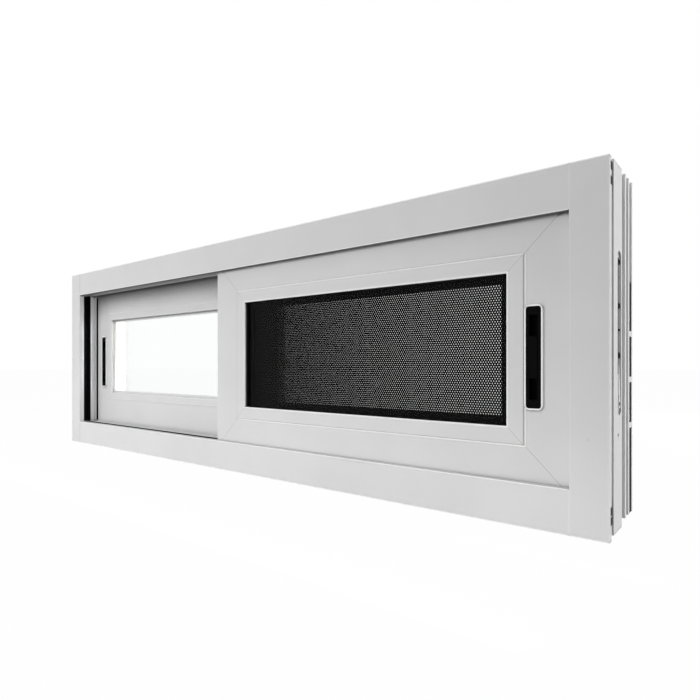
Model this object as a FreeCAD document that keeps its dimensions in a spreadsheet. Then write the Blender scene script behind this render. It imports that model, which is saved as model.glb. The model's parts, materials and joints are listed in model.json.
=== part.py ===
import FreeCAD, Part
import Sketcher
import math
import os

from FreeCAD import Placement, Rotation, Vector

# Driving dimensions in millimetres
SIZES = [
    ("frame_width", 1500.0, "outer width of the frame"),
    ("frame_height", 500.0, "outer height of the frame"),
    ("jamb_face", 50.6, "width of a jamb's front face"),
    ("head_face", 62.5, "height of the head's front face"),
    ("sill_face", 62.0, "height of the sill's front face"),
    ("front_lip", 12.0, "depth of the hollow lip in front of the first track"),
    ("track_width", 21.0, "clear width of a track"),
    ("divider_width", 17.0, "depth of the hollow fin between two tracks"),
    ("rear_lip", 33.0, "depth of the hollow lip behind the last track"),
    ("face_wall", 3.0, "thickness of the front face"),
    ("wall", 2.0, "thickness of the frame's inner walls"),
    ("jamb_floor", 30.0, "jamb's outer side to its track floor"),
    ("head_floor", 36.0, "head's outer side to its track floor"),
    ("sill_floor", 30.0, "sill's underside to its track floor"),
    ("divider_edge", 4.0, "width of each edge rib on a divider"),
    ("divider_groove", 3.0, "depth of the groove between a divider's edge ribs"),
    ("rail_height", 9.0, "height of the roller rail in a sill track"),
    ("rail_width", 3.0, "width of the roller rail"),
    ("groove_depth", 10.0, "depth of the grooves along the outer side"),
    ("face_edge", 11.0, "edge of the front face, before the first outer groove"),
    ("face_inset", 0.5, "jamb's front face short of its outer side"),
    ("lip_groove", 10.0, "width of the first outer groove"),
    ("web_width", 49.0, "width of the front web on the outer side"),
    ("web_groove", 20.0, "width of the groove behind the front web"),
    ("rib_width", 8.0, "width of the two middle outer ribs"),
    ("rib_setback", 3.0, "second middle rib behind the last track"),
    ("rear_rib", 6.0, "width of the rear outer rib"),
    ("web_foot", 5.0, "height that a jamb's front web stops above the floor"),
    ("rib_foot", 12.0, "height that a jamb's rear ribs stop above the floor"),
    ("notch_width", 5.0, "width of the corner notches beside the first outer groove"),
    ("notch_height", 10.0, "height of a corner notch"),
    ("notch_low", 21.5, "height of the lowest corner notch"),
    ("notch_low_pitch", 12.5, "distance between the two lower corner notches"),
    ("notch_high", 7.0, "highest corner notch to the top of the jamb"),
    ("notch_high_pitch", 19.0, "distance between the two upper corner notches"),
    ("fixing_radius", 3.25, "radius of the wall fixing holes"),
    ("fixing_low", 100.0, "height of the lower wall fixing hole"),
    ("fixing_pitch", 300.0, "distance between the wall fixing holes"),
    ("fixing_depth", 104.5, "wall fixing holes behind the front face"),
    ("meeting_offset", 64.5, "front sash's free edge to the left of the window's middle"),
    ("meeting_overlap", 155.5, "width over which the two sashes overlap"),
    ("sash_thickness", 20.0, "thickness of a sash"),
    ("sash_rail_gap", 6.6, "sash's underside above the roller rail"),
    ("head_engagement", 20.0, "height that a sash reaches into the head"),
    ("lock_engagement", 3.1, "front sash's reach into the right jamb"),
    ("rear_sash_gap", 9.4, "rear sash to the left jamb's face"),
    ("sash_wall", 2.0, "wall thickness of a sash member"),
    ("front_member", 68.0, "plain width of a front sash member"),
    ("front_bead", 26.0, "width of a front glazing bead"),
    ("rear_stile", 66.0, "plain width of a rear sash stile"),
    ("rear_top", 77.0, "plain height of the rear sash's top rail"),
    ("rear_bottom", 84.0, "plain height of the rear sash's bottom rail"),
    ("rear_bead", 20.0, "width of the rear glazing channel's front leg"),
    ("rear_step", 6.0, "width of the step between the rear glazing channel's front leg and the glass"),
    ("step_seat", 4.0, "sash face back to that step"),
    ("rear_leg", 8.0, "width of the rear glazing channel's back leg"),
    ("bead_proud", 1.5, "height that a bead stands in front of its sash"),
    ("bead_seat", 7.0, "sash face back to the front of the glass"),
    ("bead_edge", 1.0, "bevel along a bead's outer edge"),
    ("bead_slope", 2.0, "bevel along a bead's inner edge"),
    ("rebate_leg", 10.0, "width of the rebate behind a front bead"),
    ("glass_thickness", 5.0, "thickness of the glass"),
    ("glass_edge", 2.0, "glass short of its pocket on each side"),
    ("mesh_thickness", 1.5, "thickness of the perforated sheet"),
    ("mesh_spacer", 3.0, "depth of the spacer between glass and sheet"),
    ("mesh_border", 13.0, "visible width of the black border round the sheet"),
    ("mesh_slot", 4.0, "depth that the sheet reaches into its border"),
    ("fin_depth", 14.0, "depth of the interlock fin behind the front sash"),
    ("fin_wall", 2.0, "thickness of the interlock strip"),
    ("fin_gap", 3.0, "interlock strip short of the head and the sill"),
    ("latch_width", 22.4, "width of a latch's face plate"),
    ("latch_height", 145.7, "height of a latch's face plate"),
    ("latch_plate", 2.5, "thickness of a latch's face plate"),
    ("latch_corner", 2.5, "corner radius of a latch's face plate"),
    ("latch_centre", 240.0, "height of the middle of a latch"),
    ("latch_margin", 2.5, "front latch to the bead's outer line"),
    ("rear_latch_inset", 40.6, "middle of the rear latch to its sash's edge"),
    ("case_width", 15.0, "width of a latch's case inside the stile"),
    ("case_height", 124.0, "height of a latch's case"),
    ("case_depth", 13.0, "depth of a latch's case behind the stile's face"),
    ("case_wall", 1.5, "wall thickness of a latch's case"),
    ("slide_height", 60.0, "height of a latch's thumb slide"),
    ("slide_proud", 1.0, "thumb slide in front of the face plate"),
    ("fit_gap", 0.3, "running clearance between moving pieces"),
    ("roller_groove_radius", 12.0, "radius at the bottom of a roller's groove"),
    ("roller_flange", 1.5, "height of a roller's flanges"),
    ("roller_width", 8.0, "width of a roller"),
    ("axle_radius", 2.0, "radius of a roller's axle"),
    ("fork_length", 40.0, "length of a roller fork"),
    ("fork_height", 18.0, "height of a roller fork"),
    ("fork_width", 14.0, "width of a roller fork"),
    ("roller_inset", 110.0, "roller's centre to the edge of its sash"),
    ("buffer_wall", 2.5, "wall thickness of a track buffer"),
    ("buffer_inset", 3.0, "track buffer behind the jamb's inner face"),
    ("slot_width", 22.0, "width of the keeper slot in the right jamb"),
    ("slot_low", 161.0, "lower end of the keeper slot"),
    ("slot_high", 384.0, "upper end of the keeper slot"),
    ("slot_depth", 55.0, "middle of the keeper slot behind the front face"),
    ("keeper_thickness", 3.0, "thickness of the keeper plate"),
    ("keeper_width", 25.0, "width of the keeper plate"),
    ("keeper_overlap", 8.0, "keeper plate past each end of the slot"),
    ("pin_radius", 2.5, "radius of the pin hole under the keeper slot"),
    ("pin_height", 134.0, "height of the pin hole"),
    ("pin_depth", 47.0, "pin hole behind the front face"),
    ("arm_width", 6.0, "width of the keeper arm"),
    ("arm_low", 170.0, "lower end of the keeper arm"),
    ("arm_high", 229.0, "upper end of the keeper arm"),
    ("arm_lean", 4.0, "sideways lean of the keeper arm"),
    ("arm_thickness", 1.8, "thickness of the keeper arm"),
    ("seal_sunk", 0.8, "side seal below the outer ribs"),
    ("seal_top", 351.0, "upper end of the side seal"),
    ("clip_height", 8.0, "height of a side clip"),
    ("clip_low", 141.0, "height of the middle of the lowest side clip"),
    ("clip_spacing", 67.0, "distance between side clips"),
]

TRACKS = 3
NOTCHES = 2
CLIPS = 3
TURNS = {"left": 0, "top": 90, "right": 180, "bottom": -90}

doc = FreeCAD.newDocument("sliding_window")
sheet = doc.addObject("Spreadsheet::Sheet", "Sizes")
nodes = []


class Size:
    """A length together with the sheet expression that gives it."""

    def __init__(self, number, text):
        self.number = number
        self.text = text

    def joined(self, other, number, sign):
        return Size(number, f"({self.text} {sign} {other.text})")

    def __add__(self, other):
        other = as_size(other)
        return self.joined(other, self.number + other.number, "+")

    def __sub__(self, other):
        other = as_size(other)
        return self.joined(other, self.number - other.number, "-")

    def __mul__(self, other):
        other = as_size(other)
        return self.joined(other, self.number * other.number, "*")

    def __truediv__(self, other):
        other = as_size(other)
        return self.joined(other, self.number / other.number, "/")


def as_size(value):
    return value if isinstance(value, Size) else Size(value, str(value))


ZERO = as_size(0)


def fill_sheet():
    """Write every driving dimension to the sheet and return them by name."""
    found = {}
    for row, (name, number, meaning) in enumerate(SIZES, start=1):
        sheet.set(f"A{row}", name)
        sheet.set(f"B{row}", str(number))
        sheet.set(f"C{row}", meaning)
        sheet.setAlias(f"B{row}", name)
        found[name] = Size(number, f"Sizes.{name}")
    doc.recompute()
    return found


class Named:
    """The driving dimensions as attributes."""

    def __init__(self, values):
        self.__dict__.update(values)


s = Named(fill_sheet())

# Places that follow from the driving dimensions
depth = s.front_lip + s.track_width * TRACKS + s.divider_width * (TRACKS - 1) + s.rear_lip
track_pitch = s.track_width + s.divider_width
front_y = ZERO - depth / 2
half_width = s.frame_width / 2
bay_left = s.jamb_face - half_width
bay_right = half_width - s.jamb_face
bay_low = s.sill_face
bay_high = s.frame_height - s.head_face
last_track_end = depth - s.rear_lip

web_start = s.face_edge + s.lip_groove
web_end = web_start + s.web_width
rib_one_start = web_end + s.web_groove
rib_one_end = rib_one_start + s.rib_width
rib_two_start = last_track_end + s.rib_setback
rib_two_end = rib_two_start + s.rib_width
rear_rib_start = depth - s.rear_rib

rail_top = s.sill_floor + s.rail_height
sash_low = rail_top + s.sash_rail_gap
sash_high = bay_high + s.head_engagement
sash_clearance = (s.track_width - s.sash_thickness) / 2
front_sash_y = front_y + s.front_lip + sash_clearance
rear_sash_y = front_sash_y + track_pitch
front_left = ZERO - s.meeting_offset
front_right = bay_right + s.lock_engagement
front_width = front_right - front_left
rear_left = bay_left + s.rear_sash_gap
rear_right = front_left + s.meeting_overlap
rear_width = rear_right - rear_left


class Opening:
    """A rectangle seen from the front, with members along its four sides."""

    def __init__(self, left, right, low, high):
        self.left = left
        self.right = right
        self.low = low
        self.high = high

    def inset(self, sides, low=None, high=None):
        return Opening(self.left + sides, self.right - sides, self.low + (low or sides), self.high - (high or sides))

    def corner(self, side):
        corners = {
            "left": (self.left, self.low),
            "top": (self.left, self.high),
            "right": (self.right, self.high),
            "bottom": (self.right, self.low),
        }
        return corners[side]

    def length(self, side):
        if side in ("left", "right"):
            return self.high - self.low
        return self.right - self.left


def place(item, x, y, z, rotation):
    item.Placement = Placement(Vector(x.number, y.number, z.number), rotation)
    for axis, value in zip("xyz", (x, y, z)):
        item.setExpression(f"Placement.Base.{axis}", value.text)


def new_body(label, x, y, z, rotation=None):
    body = doc.addObject("PartDesign::Body", label)
    body.Label = label
    body.AllowCompound = True
    place(body, x, y, z, rotation or Rotation())
    nodes.append(body)
    return body


def new_box(label, x, y, z, length, width, height):
    box = doc.addObject("Part::Box", label)
    box.Label = label
    place(box, x, y, z, Rotation())
    for name, value in (("Length", length), ("Width", width), ("Height", height)):
        box.setExpression(name, value.text)
    nodes.append(box)
    return box


def origin_feature(body, role):
    return next(item for item in body.Origin.OriginFeatures if item.Role == role)


def new_sketch(body, plane, lift=None):
    sketch = body.newObject("Sketcher::SketchObject", f"{body.Name}_sketch")
    sketch.AttachmentSupport = [(origin_feature(body, plane), "")]
    sketch.MapMode = "FlatFace"
    if lift:
        sketch.setExpression("AttachmentOffset.Base.z", lift.text)
    return sketch


def bind(sketch, rule, value):
    index = sketch.addConstraint(rule)
    sketch.setExpression(f"Constraints[{index}]", value.text)


def pin_point(sketch, element, point, across, up):
    """Hold a point at its two distances from the sketch's origin."""
    for kind, value, axis in (("DistanceX", across, -2), ("DistanceY", up, -1)):
        if value is ZERO:
            sketch.addConstraint(Sketcher.Constraint("PointOnObject", element, point, axis))
        else:
            bind(sketch, Sketcher.Constraint(kind, -1, 1, element, point, value.number), value)


def outline(body, plane, loops, lift=None):
    """Draw closed loops of straight lines through (across, up) points."""
    sketch = new_sketch(body, plane, lift)
    for loop in loops:
        first = sketch.GeometryCount
        corners = [Vector(across.number, up.number, 0) for across, up in loop]
        for start, end in zip(corners, corners[1:] + corners[:1]):
            sketch.addGeometry(Part.LineSegment(start, end), False)
        for step, (across, up) in enumerate(loop):
            line = first + step
            following = first + (step + 1) % len(loop)
            sketch.addConstraint(Sketcher.Constraint("Coincident", line, 2, following, 1))
            pin_point(sketch, line, 1, across, up)
    return sketch


def rectangle(left, right, low, high):
    return [(left, low), (right, low), (right, high), (left, high)]


def circles(body, plane, centres, radius):
    sketch = new_sketch(body, plane)
    for across, up in centres:
        centre = Vector(across.number, up.number, 0)
        element = sketch.addGeometry(Part.Circle(centre, Vector(0, 0, 1), radius.number), False)
        pin_point(sketch, element, 3, across, up)
        bind(sketch, Sketcher.Constraint("Radius", element, radius.number), radius)
    return sketch


def obround(body, plane, across, low, high, radius):
    """Draw an upright slot with round ends, its arc centres at low and high."""
    sketch = new_sketch(body, plane)
    x, r = across.number, radius.number
    top = Part.ArcOfCircle(Part.Circle(Vector(x, high.number, 0), Vector(0, 0, 1), r), 0, math.pi)
    bottom = Part.ArcOfCircle(Part.Circle(Vector(x, low.number, 0), Vector(0, 0, 1), r), math.pi, 2 * math.pi)
    shapes = (
        top,
        Part.LineSegment(Vector(x - r, high.number, 0), Vector(x - r, low.number, 0)),
        bottom,
        Part.LineSegment(Vector(x + r, low.number, 0), Vector(x + r, high.number, 0)),
    )
    for shape in shapes:
        sketch.addGeometry(shape, False)
    for element in range(len(shapes)):
        following = (element + 1) % len(shapes)
        sketch.addConstraint(Sketcher.Constraint("Tangent", element, 2, following, 1))
    for element, height in ((0, high), (2, low)):
        pin_point(sketch, element, 3, across, height)
        bind(sketch, Sketcher.Constraint("Radius", element, r), radius)
    return sketch


def pad(body, sketch, length, away=False):
    feature = body.newObject("PartDesign::Pad", f"{body.Name}_pad")
    feature.Profile = sketch
    feature.Reversed = away
    feature.setExpression("Length", length.text)
    return feature


def pocket(body, sketch, length=None, away=False):
    """Cut to a depth, or right through both ways where no depth is given."""
    feature = body.newObject("PartDesign::Pocket", f"{body.Name}_pocket")
    feature.Profile = sketch
    feature.Reversed = away
    if length is None:
        feature.Type = "ThroughAll"
        feature.SideType = "Symmetric"
    else:
        feature.setExpression("Length", length.text)
    return feature


def repeat(body, features, axis, length, count):
    pattern = body.newObject("PartDesign::LinearPattern", f"{body.Name}_pattern")
    pattern.Originals = features
    pattern.Direction = (origin_feature(body, axis), [""])
    pattern.Occurrences = count
    pattern.setExpression("Length", length.text)
    body.Tip = pattern
    return pattern


def member(label, side, opening, y, loops, mitre=None):
    """Run a cross-section along one side of an opening, its ends square or mitred."""
    x, z = opening.corner(side)
    length = opening.length(side)
    body = new_body(label, x, y, z, Rotation(Vector(0, 1, 0), TURNS[side]))
    pad(body, outline(body, "XY_Plane", loops), length)
    if mitre:
        near = [(ZERO, ZERO), (mitre, ZERO), (mitre, mitre)]
        far = [(ZERO, length), (mitre, length - mitre), (mitre, length)]
        pocket(body, outline(body, "XZ_Plane", [near, far]))
    return body


def track_profile(face, floor):
    """Outline of a jamb: across from its outer side, up from its front face."""
    inner = [(s.face_inset, ZERO), (face, ZERO)]
    for track in range(TRACKS):
        start = s.front_lip + track_pitch * track
        end = start + s.track_width
        inner += [(face, start), (floor, start), (floor, end), (face, end)]
        if track < TRACKS - 1:
            low = end + s.divider_edge
            high = end + s.divider_width - s.divider_edge
            groove = face - s.divider_groove
            inner += [(face, low), (groove, low), (groove, high), (face, high)]
    back = [(face, depth), (ZERO, depth)]
    outer = []
    for high, low in ((rear_rib_start, rib_two_end), (rib_two_start, rib_one_end), (rib_one_start, web_end)):
        outer += [(ZERO, high), (s.groove_depth, high), (s.groove_depth, low), (ZERO, low)]
    outer += [(ZERO, web_start), (s.groove_depth, web_start)]
    outer += [(s.groove_depth, s.face_edge), (s.face_inset, s.face_edge)]
    return inner + back + outer


def fin_starts():
    """Where each fin between two tracks begins, behind the front face."""
    return [s.front_lip + track_pitch * track + s.track_width for track in range(TRACKS - 1)]


def lip_hollow(face):
    return rectangle(s.face_inset + s.wall, face - s.wall, s.face_wall, s.face_edge - s.wall)


def rear_hollow(face):
    return rectangle(s.groove_depth + s.wall, face - s.wall, last_track_end + s.wall, depth - s.wall)


def fin_hollow(face, floor, start):
    top = face - s.divider_groove - s.wall
    return rectangle(floor + s.wall, top, start + s.wall, start + s.divider_width - s.wall)


def base_hollows(floor, start, end):
    """The two hollows under the tracks, from start to end behind the front face."""
    outer = s.groove_depth + s.wall
    base = floor - s.wall
    front = [
        (outer, start),
        (base, start),
        (base, web_end - s.wall),
        (s.wall, web_end - s.wall),
        (s.wall, web_start + s.wall),
        (outer, web_start + s.wall),
    ]
    return [front, rectangle(outer, base, web_end, end)]


def jamb_section(face, floor):
    """A jamb is one profile: its outline and all of its hollows."""
    fins = [fin_hollow(face, floor, start) for start in fin_starts()]
    base = base_hollows(floor, s.front_lip, last_track_end)
    return [track_profile(face, floor), lip_hollow(face), rear_hollow(face)] + base + fins


def lip_section(face):
    """Front lip of the head or the sill, with its hollow."""
    loop = [
        (ZERO, ZERO),
        (face, ZERO),
        (face, s.front_lip),
        (s.groove_depth, s.front_lip),
        (s.groove_depth, s.face_edge),
        (ZERO, s.face_edge),
    ]
    return [loop, lip_hollow(face)]


def base_section(floor, rail=None):
    """Base of the head or the sill under its tracks, with its two hollows."""
    inner = [(s.groove_depth, s.front_lip), (floor, s.front_lip)]
    if rail:
        for track in range(TRACKS):
            start = s.front_lip + track_pitch * track + (s.track_width - s.rail_width) / 2
            end = start + s.rail_width
            inner += [(floor, start), (floor + rail, start), (floor + rail, end), (floor, end)]
    inner += [(floor, last_track_end), (s.groove_depth, last_track_end)]
    outer = []
    for high, low in ((rib_one_end, rib_one_start), (web_end, web_start)):
        outer += [(s.groove_depth, high), (ZERO, high), (ZERO, low), (s.groove_depth, low)]
    return [inner + outer] + base_hollows(floor, s.front_lip + s.wall, last_track_end - s.wall)


def fins_section(face, floor):
    """The fins between the tracks and the lip behind the last one, each with its hollow."""
    loops = []
    for start in fin_starts():
        end = start + s.divider_width
        low = start + s.divider_edge
        high = end - s.divider_edge
        groove = face - s.divider_groove
        loops.append(
            [
                (floor, start),
                (face, start),
                (face, low),
                (groove, low),
                (groove, high),
                (face, high),
                (face, end),
                (floor, end),
            ]
        )
        loops.append(fin_hollow(face, floor, start))
    rear = [
        (s.groove_depth, last_track_end),
        (face, last_track_end),
        (face, depth),
        (ZERO, depth),
        (ZERO, rear_rib_start),
        (s.groove_depth, rear_rib_start),
        (s.groove_depth, rib_two_end),
        (ZERO, rib_two_end),
        (ZERO, rib_two_start),
        (s.groove_depth, rib_two_start),
    ]
    return loops + [rear, rear_hollow(face)]


def cut_jamb_foot(jamb, upside_down):
    """Stop the jamb short of the floor behind its front face."""
    foot = [
        (s.face_edge, ZERO),
        (depth, ZERO),
        (depth, s.rib_foot),
        (web_end, s.rib_foot),
        (web_end, s.web_foot),
        (s.face_edge, s.web_foot),
    ]
    if upside_down:
        foot = [(across, s.frame_height - up) for across, up in foot]
    pocket(jamb, outline(jamb, "YZ_Plane", [foot]))


def cut_jamb_holes(jamb, upside_down):
    """Cut the notches beside the first outer groove, into the lip's hollow, and the wall fixing holes."""
    front = s.face_edge - s.notch_width
    notches = []
    for step in range(NOTCHES):
        low = s.notch_low + s.notch_low_pitch * step
        high = s.frame_height - s.notch_high - s.notch_high_pitch * step
        for start, end in ((low, low + s.notch_height), (high - s.notch_height, high)):
            notches.append(rectangle(front, s.face_edge, start, end))
    if upside_down:
        notches = [[(across, s.frame_height - up) for across, up in loop] for loop in notches]
    pocket(jamb, outline(jamb, "YZ_Plane", notches), s.face_inset + s.wall, away=True)
    centres = [(s.fixing_depth, s.fixing_low), (s.fixing_depth, s.fixing_low + s.fixing_pitch)]
    pocket(jamb, circles(jamb, "YZ_Plane", centres, s.fixing_radius), s.jamb_floor, away=True)


def build_frame():
    whole = Opening(ZERO - half_width, half_width, ZERO, s.frame_height)
    between = Opening(bay_left, bay_right, ZERO, s.frame_height)
    rows = (
        ("head", "top", s.head_face, s.head_floor, None),
        ("sill", "bottom", s.sill_face, s.sill_floor, s.rail_height),
    )
    for name, side, face, floor, rail in rows:
        member(name, side, between, front_y, base_section(floor, rail))
        member(f"{name}_front_lip", side, between, front_y, lip_section(face))
        member(f"{name}_track_fins", side, between, front_y, fins_section(face, floor))
    for side in ("left", "right"):
        jamb = member(f"{side}_jamb", side, whole, front_y, jamb_section(s.jamb_face, s.jamb_floor))
        cut_jamb_foot(jamb, side == "right")
        cut_jamb_holes(jamb, side == "right")
        if side == "right":
            radius = s.slot_width / 2
            low = s.frame_height - s.slot_high + radius
            high = s.frame_height - s.slot_low - radius
            slot = obround(jamb, "YZ_Plane", s.slot_depth, low, high, radius)
            pocket(jamb, slot, s.wall, away=True)
            pin = circles(jamb, "YZ_Plane", [(s.pin_depth, s.frame_height - s.pin_height)], s.pin_radius)
            pocket(jamb, pin, s.wall, away=True)


def build_track_buffers():
    """Soft channels in the jambs that stop an opened sash."""
    bay = Opening(ZERO - half_width, half_width, bay_low, bay_high)
    outer = s.jamb_face - s.buffer_inset
    for side, track in (("left", 0), ("right", 1)):
        start = s.front_lip + track_pitch * track
        end = start + s.track_width
        section = [
            (s.jamb_floor, start),
            (outer, start),
            (outer, start + s.buffer_wall),
            (s.jamb_floor + s.buffer_wall, start + s.buffer_wall),
            (s.jamb_floor + s.buffer_wall, end - s.buffer_wall),
            (outer, end - s.buffer_wall),
            (outer, end),
            (s.jamb_floor, end),
        ]
        member(f"{side}_track_buffer", side, bay, front_y, [section])


def build_side_hardware():
    """Keeper behind the slot in the right jamb, and the seal and clips in its rear groove."""
    reach = Opening(ZERO, half_width, s.slot_low - s.keeper_overlap, s.slot_high + s.keeper_overlap)
    half = s.keeper_width / 2
    plate = rectangle(s.wall, s.wall + s.keeper_thickness, s.slot_depth - half, s.slot_depth + half)
    member("keeper_plate", "right", reach, front_y, [plate])

    turn = Rotation(Vector(0, 1, 0), TURNS["right"])
    arm = new_body("keeper_arm", half_width - s.wall + s.arm_thickness, front_y, s.arm_high, turn)
    near, far = s.slot_depth - s.arm_lean, s.slot_depth + s.arm_lean
    half = s.arm_width / 2
    length = s.arm_high - s.arm_low
    lean = [(near - half, ZERO), (near + half, ZERO), (far + half, length), (far - half, length)]
    pad(arm, outline(arm, "YZ_Plane", [lean]), s.arm_thickness)

    seal_length = s.seal_top - s.rib_foot
    strip = rectangle(s.seal_sunk, s.groove_depth, rib_two_end, rear_rib_start)
    seal = member("side_seal", "right", Opening(ZERO, half_width, s.rib_foot, s.seal_top), front_y, [strip])
    gaps = []
    for step in range(CLIPS):
        middle = seal_length - (s.clip_low + s.clip_spacing * step - s.rib_foot)
        reach = s.clip_height / 2 + s.fit_gap
        gaps.append(rectangle(rib_two_end, rear_rib_start, middle - reach, middle + reach))
    pocket(seal, outline(seal, "YZ_Plane", gaps))

    clip = rectangle(ZERO, s.groove_depth, rib_two_end, rear_rib_start)
    span = s.clip_spacing * (CLIPS - 1)
    clips = new_body("side_clips", half_width, front_y, s.clip_low + span + s.clip_height / 2, turn)
    first = pad(clips, outline(clips, "XY_Plane", [clip]), s.clip_height)
    repeat(clips, [first], "Z_Axis", span, CLIPS)


def bead_profile():
    """Front glazing bead, across from its outer edge and up from its front face."""
    seat = s.bead_proud + s.bead_seat
    return [
        (s.bead_edge, ZERO),
        (s.front_bead - s.bead_slope, ZERO),
        (s.front_bead, s.bead_slope),
        (s.front_bead, seat),
        (ZERO, seat),
        (ZERO, s.bead_edge),
    ]


def glazing_profile():
    """Rear sash's glazing channel: a bevelled and stepped front leg and a short back leg."""
    step = s.bead_proud + s.step_seat
    seat = s.bead_proud + s.bead_seat
    back = seat + s.glass_thickness
    end = s.bead_proud + s.sash_thickness
    return [
        (s.bead_edge, ZERO),
        (s.rear_bead - s.bead_slope, ZERO),
        (s.rear_bead, s.bead_slope),
        (s.rear_bead, step),
        (s.rear_bead + s.rear_step, step),
        (s.rear_bead + s.rear_step, seat),
        (s.sash_wall, seat),
        (s.sash_wall, back),
        (s.rear_leg, back),
        (s.rear_leg, end),
        (ZERO, end),
        (ZERO, s.bead_edge),
    ]


def mesh_border_profile():
    """Black border that spaces the sheet off the glass and backs its rim."""
    lip = s.front_bead - s.rebate_leg
    sheet_back = s.mesh_spacer + s.mesh_thickness
    end = s.sash_thickness - s.bead_seat - s.glass_thickness
    return [
        (ZERO, ZERO),
        (lip, ZERO),
        (lip, s.mesh_spacer),
        (lip - s.mesh_slot, s.mesh_spacer),
        (lip - s.mesh_slot, sheet_back),
        (lip + s.mesh_border, sheet_back),
        (lip + s.mesh_border, end),
        (ZERO, end),
    ]


def tube_profile(width):
    inside = rectangle(s.sash_wall, width - s.sash_wall, s.sash_wall, s.sash_thickness - s.sash_wall)
    return [rectangle(ZERO, width, ZERO, s.sash_thickness), inside]


def cut_roller_slots(rail, start_inset, length):
    """Open the underside of a bottom rail over both rollers."""
    half = s.roller_groove_radius + s.roller_flange + s.fit_gap
    low = (s.sash_thickness - s.fork_width) / 2
    loops = []
    for centre in (s.roller_inset - start_inset, length - s.roller_inset + start_inset):
        loops.append(rectangle(low, low + s.fork_width, centre - half, centre + half))
    pocket(rail, outline(rail, "YZ_Plane", loops), s.sash_wall, away=True)


def cut_latch_hole(stile, across, low):
    """Open a stile's front wall round a latch's case."""
    half = s.case_width / 2 + s.fit_gap
    hole = rectangle(across - half, across + half, low - s.fit_gap, low + s.case_height + s.fit_gap)
    pocket(stile, outline(stile, "XZ_Plane", [hole]), s.sash_wall)


def build_latch(name, centre_x, face_y):
    """Flush latch: a face plate with a hollow case behind it, and a thumb slide."""
    upright = Rotation(Vector(1, 0, 0), 90)
    left = centre_x - s.latch_width / 2
    low = s.latch_centre - s.latch_height / 2
    case_left = (s.latch_width - s.case_width) / 2
    case_low = (s.latch_height - s.case_height) / 2
    case = rectangle(case_left, case_left + s.case_width, case_low, case_low + s.case_height)
    body = new_body(name, left, face_y, low, upright)
    plate_loop = rectangle(ZERO, s.latch_width, ZERO, s.latch_height)
    plate = pad(body, outline(body, "XY_Plane", [plate_loop]), s.latch_plate)
    doc.recompute()
    corners = body.newObject("PartDesign::Fillet", f"{name}_corners")
    edges = []
    for index, edge in enumerate(plate.Shape.Edges, start=1):
        if abs(edge.tangentAt(edge.FirstParameter).z) > 0.9:
            edges.append(f"Edge{index}")
    corners.Base = (plate, edges)
    corners.setExpression("Radius", s.latch_corner.text)
    pad(body, outline(body, "XY_Plane", [case]), s.case_depth, away=True)
    hollow = rectangle(
        case_left + s.case_wall,
        case_left + s.case_width - s.case_wall,
        case_low + s.case_wall,
        case_low + s.case_height - s.case_wall,
    )
    hollow_depth = s.latch_plate + s.case_depth - s.case_wall
    pocket(body, outline(body, "XY_Plane", [hollow], lift=s.latch_plate), hollow_depth)

    slide = new_body(f"{name}_slide", left, face_y, low, upright)
    side = case_left + s.case_wall + s.fit_gap
    slide_low = (s.latch_height - s.slide_height) / 2
    grip = rectangle(side, s.latch_width - side, slide_low, slide_low + s.slide_height)
    floor = s.case_wall - s.case_depth
    pad(slide, outline(slide, "XY_Plane", [grip], lift=floor), hollow_depth + s.slide_proud)


def build_rollers(name, sash_left, sash_width, sash_y):
    """Two grooved rollers on the sill's rail, each in a fork inside the bottom rail."""
    spacing = sash_width - s.roller_inset * 2
    first_x = sash_left + s.roller_inset
    fork_y = sash_y + (s.sash_thickness - s.fork_width) / 2
    axle_z = rail_top + s.fit_gap + s.roller_groove_radius
    edge = s.roller_groove_radius + s.roller_flange
    low = (s.fork_width - s.roller_width) / 2
    high = low + s.roller_width
    groove = s.rail_width + s.fit_gap * 2
    groove_low = (s.fork_width - groove) / 2
    wheel_loop = [
        (ZERO, ZERO),
        (s.axle_radius, ZERO),
        (s.axle_radius, low),
        (edge, low),
        (edge, groove_low),
        (s.roller_groove_radius, groove_low),
        (s.roller_groove_radius, groove_low + groove),
        (edge, groove_low + groove),
        (edge, high),
        (s.axle_radius, high),
        (s.axle_radius, s.fork_width),
        (ZERO, s.fork_width),
    ]
    rollers = new_body(f"{name}_rollers", first_x, fork_y, axle_z, Rotation(Vector(1, 0, 0), -90))
    profile = outline(rollers, "XZ_Plane", [wheel_loop])
    wheel = rollers.newObject("PartDesign::Revolution", f"{name}_wheel")
    wheel.Profile = profile
    wheel.ReferenceAxis = (profile, ["V_Axis"])
    wheel.Angle = 360
    repeat(rollers, [wheel], "X_Axis", spacing, 2)

    fork_z = sash_low + s.sash_wall
    forks = new_body(f"{name}_roller_forks", first_x - s.fork_length / 2, fork_y, fork_z)
    block_loop = rectangle(ZERO, s.fork_length, ZERO, s.fork_height)
    block = pad(forks, outline(forks, "XZ_Plane", [block_loop]), s.fork_width, away=True)
    middle = s.fork_length / 2
    half = edge + s.roller_flange
    gap = rectangle(middle - half, middle + half, low - s.fit_gap, high + s.fit_gap)
    slot = pocket(forks, outline(forks, "XY_Plane", [gap]))
    bore_radius = s.axle_radius + s.fit_gap
    bore = pocket(forks, circles(forks, "XZ_Plane", [(middle, axle_z - fork_z)], bore_radius))
    repeat(forks, [block, slot, bore], "X_Axis", spacing, 2)


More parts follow.
